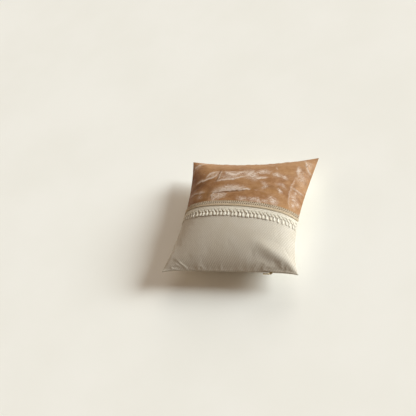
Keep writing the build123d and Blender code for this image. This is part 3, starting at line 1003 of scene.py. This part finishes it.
def leather_finish():
    """Waxed tan leather: cloudy colour and fine grain, painted shade in the creases, under the braid and on
    the left side, a painted highlight along the top, and pale scuffs that are partly dry wax and partly
    painted sheen.
    """
    f = Finish("waxed_leather", Specular_IOR_Level=0.16, Coat_Weight=0.02, Coat_Roughness=0.35)
    across, along = f.axes(f.flat())
    clouds = f.noise(f.flat(stretch=(1, 1.8, 1)), 9, 4, 0.55)
    mottle = f.noise(f.flat(stretch=(1, 1.5, 1)), 46, 5, 0.6)
    colour = f.mix(f.remap(clouds, 0.33, 0.68), LEATHER_DEEP, LEATHER_TAN)
    colour = f.mix(f.remap(mottle, 0.35, 0.75, 0.0, 0.6), colour, LEATHER_LIGHT)
    # Painted shade: the leather's left side is made darker and redder.
    left = f.remap(f.add(across, f.times(clouds, 0.08)), -0.215, -0.09, 0.75, 0.0)
    colour = f.mix(left, colour, LEATHER_LEFT_SHADE)
    # Painted highlight: a strip along the top of the leather is made lighter.
    top = f.remap(f.add(along, f.times(mottle, 0.02)), 0.155, 0.195, 0.0, 0.35)
    colour = f.mix(top, colour, LEATHER_LIGHT)
    fibres = f.noise(f.flat(0.12, (1, 4.5, 1)), 95, 6, 0.68, 0.6)
    specks = f.noise(f.flat(0.3, (1, 1.7, 1)), 210, 5, 0.75, 0.4)
    # Painted shade: the creases are darkened.
    crease_shade = f.times(f.attribute("crease_shade"), f.remap(fibres, 0.3, 0.6, 0.5, 1.0))
    # painted shade on the leather under the braid
    crease_shade = f.most(crease_shade, f.times(f.attribute("painted_shade_under_braid"), 0.6))
    colour = f.mix(crease_shade, colour, LEATHER_DARK)
    grit = f.add(fibres, specks)
    # Pale marks: partly rubbed dry wax and partly painted sheen.
    lines = f.times(f.attribute("lines"), f.remap(grit, 0.8, 1.14, 0.3, 1.1))
    patches = f.times(f.attribute("patches"), f.remap(grit, 0.84, 1.16, 0.15, 1.1))
    haze = f.remap(f.noise(f.flat(0.1, (1, 2.6, 1)), 24, 7, 0.75, 0.8), 0.48, 0.76, 0.0, 0.45)
    rub = f.most(f.most(lines, patches), haze)
    scuff_and_sheen = f.remap(rub, 0.02, 1.0, 0.0, 0.8)
    colour = f.mix(scuff_and_sheen, colour, LEATHER_PALE)
    grain = f.node("TexVoronoi", {"Vector": f.flat(), "Scale": 620.0}, feature="F1")
    pores = f.noise(f.flat(), 1500, 2)
    colour = f.mix(f.remap(grain, 0.1, 0.9, 0.0, 0.16), colour, LEATHER_DARK)
    skin = f.bump(f.add(f.times(grain, -0.6), pores), 0.00018)
    skin = f.bump(f.math("SUBTRACT", fibres, f.times(crease_shade, 0.6)), 0.0009, 0.6, skin)
    skin = f.bump(f.noise(f.flat(), 60, 3), 0.0012, 0.5, skin)
    rough = f.add(f.remap(scuff_and_sheen, 0, 1, 0.5, 0.72), f.times(mottle, 0.1))
    return f.done(colour, rough, skin)


def twill_finish():
    """Oatmeal cotton twill: slanted ribs of thick yarn, uneven from yarn to yarn."""
    f = Finish("oatmeal_twill", Specular_IOR_Level=0.2, Sheen_Weight=0.25, Sheen_Roughness=0.5)
    bend = f.times(f.noise(f.flat(), 22, 2), 0.0035)
    across, along = f.axes(f.flat(RIB_TURN))
    rib = f.wave(f.add(along, bend), RIB_PITCH)
    ply = f.wave(f.add(across, f.times(along, 0.9)), 0.0012)
    slub = f.noise(f.flat(RIB_TURN, (1, 9, 1)), 130, 3, 0.6)
    cloud = f.noise(f.flat(), 14, 4)
    weave = f.times(f.remap(rib, 0.05, 0.95), f.remap(ply, 0.0, 1.0, 0.72, 1.0))
    colour = f.mix(f.remap(cloud, 0.3, 0.7), TWILL_WARM, TWILL_PALE)
    heather = f.noise(f.flat(RIB_TURN, (1, 2.2, 1)), 340, 4, 0.65)
    valley = f.remap(weave, 0.0, 0.8, 0.42, 0.0)
    colour = f.mix(f.times(valley, f.remap(heather, 0.35, 0.65, 0.3, 1.1)), colour, TWILL_SHADE)
    colour = f.mix(f.remap(heather, 0.4, 0.7, 0.0, 0.22), colour, TWILL_FLECK)
    colour = f.mix(f.remap(slub, 0.42, 0.78, 0.0, 0.3), colour, TWILL_FLECK)
    fuzz = f.noise(f.flat(), 2600, 2)
    cloth = f.bump(weave, 0.0006, 0.5)
    cloth = f.bump(f.add(slub, f.times(fuzz, 0.5)), 0.0004, 0.7, cloth)
    return f.done(colour, f.remap(slub, 0.3, 0.7, 0.82, 0.94), cloth)


def plain_weave(name, pitch, pale, warm, shade, depth=0.0003, solid=False):
    """Plain weave: warp and weft that pass over each other, with uneven yarns."""
    f = Finish(name, Specular_IOR_Level=0.2, Sheen_Weight=0.15, Sheen_Roughness=0.5)
    place = f.solid if solid else f.flat
    across, along = f.axes(place())
    warp = f.wave(across, pitch)
    weft = f.wave(along, pitch)
    over = f.wave(f.add(across, along), 2 * pitch)
    yarns = f.most(f.times(warp, f.remap(over, 0.2, 0.8, 0.55, 1.0)),
                   f.times(weft, f.remap(over, 0.8, 0.2, 0.55, 1.0)))
    slub = f.noise(place(stretch=(1, 12, 1)), 160, 3, 0.6)
    cross_slub = f.noise(place(stretch=(12, 1, 1)), 160, 3, 0.6)
    uneven = f.most(slub, cross_slub)
    colour = f.mix(f.remap(f.noise(place(), 13, 4), 0.3, 0.7), warm, pale)
    colour = f.mix(f.remap(yarns, 0.2, 0.9, 0.45, 0.0), colour, shade)
    colour = f.mix(f.remap(uneven, 0.5, 0.8, 0.0, 0.22), colour, shade)
    cloth = f.bump(yarns, depth, 0.9)
    cloth = f.bump(uneven, depth, 0.5, cloth)
    return f.done(colour, f.remap(uneven, 0.4, 0.8, 0.8, 0.94), cloth)


def seam_thread_finish():
    """Thread of the seams, whose mesh has no direction: slanted plies by place in the object, with painted
    shade between them.
    """
    f = Finish("seam_thread", Specular_IOR_Level=0.25, Sheen_Weight=0.3, Sheen_Roughness=0.4)
    across, along = f.axes(f.solid())
    strand = f.wave(f.add(across, along), 0.9 * MM)
    stain = f.noise(f.solid(), 70, 4, 0.6)
    colour = f.mix(f.remap(stain, 0.35, 0.7), tint(214, 202, 174), tint(196, 182, 150))
    # painted shade between the plies
    colour = f.mix(f.remap(strand, 0.0, 0.6, 0.3, 0.0), colour, YARN_DARK)
    yarn = f.bump(f.add(strand, f.noise(f.solid(), 2800, 2)), 0.0002)
    return f.done(colour, f.remap(stain, 0.3, 0.7, 0.78, 0.92), yarn)


def yarn_finish(name, dark, middle, pale, pitch):
    """Twisted cotton yarn: slanted strands along it with painted shade between them, fuzz, and a colour by
    the yarn's tone.
    """
    f = Finish(name, Specular_IOR_Level=0.25, Sheen_Weight=0.3, Sheen_Roughness=0.4)
    length, turn = f.axes(f.flat())
    twist = f.add(f.math("DIVIDE", length, pitch), f.times(turn, 2.0))
    strand = f.wave(twist, 1.0)
    tone = f.attribute("tone")
    colour = f.mix(f.remap(tone, 0.0, 0.5), dark, middle)
    colour = f.mix(f.remap(tone, 0.5, 1.0), colour, pale)
    stain = f.noise(f.solid(), 70, 4, 0.6)
    colour = f.mix(f.remap(stain, 0.4, 0.75, 0.0, 0.4), colour, middle)
    # painted shade between the strands
    colour = f.mix(f.remap(strand, 0.0, 0.6, 0.22, 0.0), colour, dark)
    fuzz = f.noise(f.solid(), 2800, 2)
    yarn = f.bump(f.add(strand, f.times(fuzz, 0.6)), 0.00025)
    return f.done(colour, f.remap(stain, 0.3, 0.7, 0.78, 0.92), yarn)


def coil_finish():
    """Cream nylon, smooth, with a little grime."""
    f = Finish("zip_nylon", Specular_IOR_Level=0.5)
    wear = f.noise(f.solid(), 240, 4)
    colour = f.mix(f.remap(wear, 0.35, 0.7), tint(188, 172, 149), tint(222, 213, 192))
    scuffs = f.bump(f.noise(f.solid(), 1800), 0.0001)
    return f.done(colour, f.remap(wear, 0.3, 0.7, 0.28, 0.45), scuffs)


def brass_finish():
    """Antique brass: dark patina in clouds, rubbed bright in places, with fine scratches."""
    f = Finish("antique_brass", Metallic=1.0)
    patina = f.noise(f.solid(), 190, 5, 0.62)
    scratch = f.noise(f.solid((1, 1, 14)), 900, 3, 0.7)
    colour = f.mix(f.remap(patina, 0.34, 0.66), tint(92, 74, 46), tint(186, 156, 100))
    colour = f.mix(f.remap(scratch, 0.6, 0.75, 0.0, 0.5), colour, tint(222, 198, 148))
    rough = f.add(f.remap(patina, 0.3, 0.7, 0.48, 0.26), f.times(scratch, 0.08))
    return f.done(colour, rough, f.bump(f.add(patina, scratch), 0.00012, 0.6))


def fibre_finish():
    """White filling, in wisps."""
    f = Finish("polyester_fibre", Specular_IOR_Level=0.2, Sheen_Weight=0.4)
    wisps = f.noise(f.solid((1, 2.5, 1)), 90, 8, 0.75, 1.6)
    colour = f.mix(f.remap(wisps, 0.3, 0.7), tint(214, 212, 206), tint(246, 246, 244))
    return f.done(colour, f.remap(wisps, 0.3, 0.7, 0.85, 0.97), f.bump(wisps, 0.003))


def floor_finish():
    f = Finish("pale_floor", Specular_IOR_Level=0.25)
    clouds = f.noise(f.solid(), 3, 4)
    colour = f.mix(f.remap(clouds, 0.3, 0.7), tint(240, 235, 227), tint(243, 238, 231))
    grain = f.bump(f.noise(f.solid(), 400, 3), 0.0002, 0.3)
    return f.done(colour, f.remap(clouds, 0.3, 0.7, 0.68, 0.72), grain)


LEATHER_TAN = tint(159, 115, 72)
LEATHER_DEEP = tint(140, 95, 58)
LEATHER_LIGHT = tint(179, 137, 99)
LEATHER_LEFT_SHADE = tint(140, 86, 53)
LEATHER_DARK = tint(80, 50, 30)
LEATHER_PALE = tint(224, 206, 192)
TWILL_PALE = tint(202, 192, 178)
TWILL_WARM = tint(195, 183, 166)
TWILL_SHADE = tint(158, 137, 114)
TWILL_FLECK = tint(183, 166, 146)
RIB_TURN = math.radians(-55)
RIB_PITCH = 6.4 * MM
YARN_DARK = tint(186, 168, 143)
YARN_MIDDLE = tint(223, 209, 188)
YARN_PALE = tint(243, 234, 218)


def dress(material, *pieces):
    """Gives a material to pieces, in place of the plain ones that CAD nodes come with."""
    for piece in pieces:
        if piece.material_slots:
            for slot in piece.material_slots:
                slot.material = material
        else:
            piece.data.materials.append(material)


dress(leather_finish(), leather)
dress(twill_finish(), twill)
dress(yarn_finish("braid_yarn", tint(138, 104, 76), tint(208, 184, 153), tint(230, 211, 184), 1.6 * MM),
      *trim["braid"])
dress(yarn_finish("fringe_yarn", YARN_DARK, YARN_MIDDLE, YARN_PALE, 2.4 * MM), *trim["fringe"])
dress(yarn_finish("sewing_thread", YARN_DARK, tint(200, 184, 148), YARN_PALE, 0.9 * MM), *trim["thread"])
dress(seam_thread_finish(), parts["cover_seam_thread"], parts["insert_seam_thread"])
zip_tapes = [parts["zip_tape_front"], parts["zip_tape_back"]]
# Plain weaves: name, pitch, pale, warm and shaded colour, depth, whether by place in the object, pieces.
for name, pitch, pale, warm, shade, depth, solid, pieces in (
    ("back_cotton", 1.1, (234, 228, 214), (226, 219, 202), (188, 178, 156), 0.3, False, [back_cover]),
    ("fringe_tape_weave", 0.9, (224, 212, 194), (217, 203, 185), (188, 172, 149), 0.4, False, trim["tape"]),
    ("zip_tape_weave", 0.7, (226, 219, 202), (216, 207, 188), (176, 165, 142), 0.3, True, zip_tapes),
    ("ticking_cotton", 0.6, (244, 243, 238), (238, 236, 229), (212, 209, 200), 0.15, False, ticking),
):
    colours = [tint(*colour) for colour in (pale, warm, shade)]
    dress(plain_weave(name, pitch * MM, *colours, depth * MM, solid), *pieces)
dress(coil_finish(), *coils)
dress(brass_finish(), *(parts["zip_" + part] for part in
                        ("stop_closed_end", "stop_open_end", "slider", "pull_pin", "pull_tab")))
dress(fibre_finish(), fill)


# ---------------- floor, light and camera
FLOOR_REACH = 8
FLOOR_DROP = 0.4 * MM               # keeps the floor clear of the pillow's flat patch
CAMERA_PLACE = (0.8408, -1.3586, 1.9064 + SEAM_Z)
CAMERA_RIGHT = Vector((0.92608, 0.21363, -0.31102))
CAMERA_UP = Vector((0.0091, 0.8114, 0.58442))
CAMERA_LENS = 69.2
AMBIENT = (0.2, 0.15, 0.11, 1)
BACKDROP = (0.8, 0.77, 0.73, 1)
# Lamps: name, a place in the direction that it shines from, spread in degrees, strength and colour.
LAMPS = (
    ("key", (1.8, 0.6, 0.85), 25, 5.1, (0.86, 0.965, 1.0)),
    ("back", (0.2, 1.9, 0.95), 35, 1.08, (1.0, 0.99, 0.92)),
    ("fill", (-1.9, 0.2, 0.85), 40, 0.36, (1.0, 0.86, 0.62)),
)


def plain_floor():
    corners = ((-1, -1), (1, -1), (1, 1), (-1, 1))
    verts = [(x * FLOOR_REACH, y * FLOOR_REACH, -FLOOR_DROP) for x, y in corners]
    mesh = bpy.data.meshes.new("floor")
    mesh.from_pydata(verts, [], [(0, 1, 2, 3)])
    floor = new_object("floor", mesh)
    dress(floor_finish(), floor)


def soft_light(name, place, spread_angle, strength, colour):
    """A broad, even light from the direction of a place: the floor is pale all the way back."""
    data = bpy.data.lights.new(name, "SUN")
    data.angle, data.energy, data.color = math.radians(spread_angle), strength, colour
    lamp = new_object(name, data)
    lamp.rotation_euler = (-Vector(place)).to_track_quat("-Z", "Y").to_euler()


def studio():
    """A dim warm light from all round, and a pale backdrop that only the camera sees."""
    world = bpy.data.worlds.new("studio")
    bpy.context.scene.world = world
    world.use_nodes = True
    nodes, links = world.node_tree.nodes, world.node_tree.links
    ambient = nodes["Background"]
    ambient.inputs["Color"].default_value = AMBIENT
    backdrop = nodes.new("ShaderNodeBackground")
    backdrop.inputs["Color"].default_value = BACKDROP
    seen = nodes.new("ShaderNodeLightPath")
    both = nodes.new("ShaderNodeMixShader")
    links.new(seen.outputs["Is Camera Ray"], both.inputs[0])
    links.new(ambient.outputs[0], both.inputs[1])
    links.new(backdrop.outputs[0], both.inputs[2])
    links.new(both.outputs[0], nodes["World Output"].inputs["Surface"])


def camera():
    data = bpy.data.cameras.new("camera")
    data.lens = CAMERA_LENS
    data.clip_end = 50
    cam = new_object("camera", data)
    axes = (CAMERA_RIGHT, CAMERA_UP, CAMERA_RIGHT.cross(CAMERA_UP))
    cam.matrix_world = Matrix.Translation(CAMERA_PLACE) @ Matrix(axes).transposed().to_4x4()
    bpy.context.scene.camera = cam


plain_floor()
for lamp in LAMPS:
    soft_light(*lamp)
studio()
bpy.context.scene.view_settings.view_transform = "Standard"
camera()
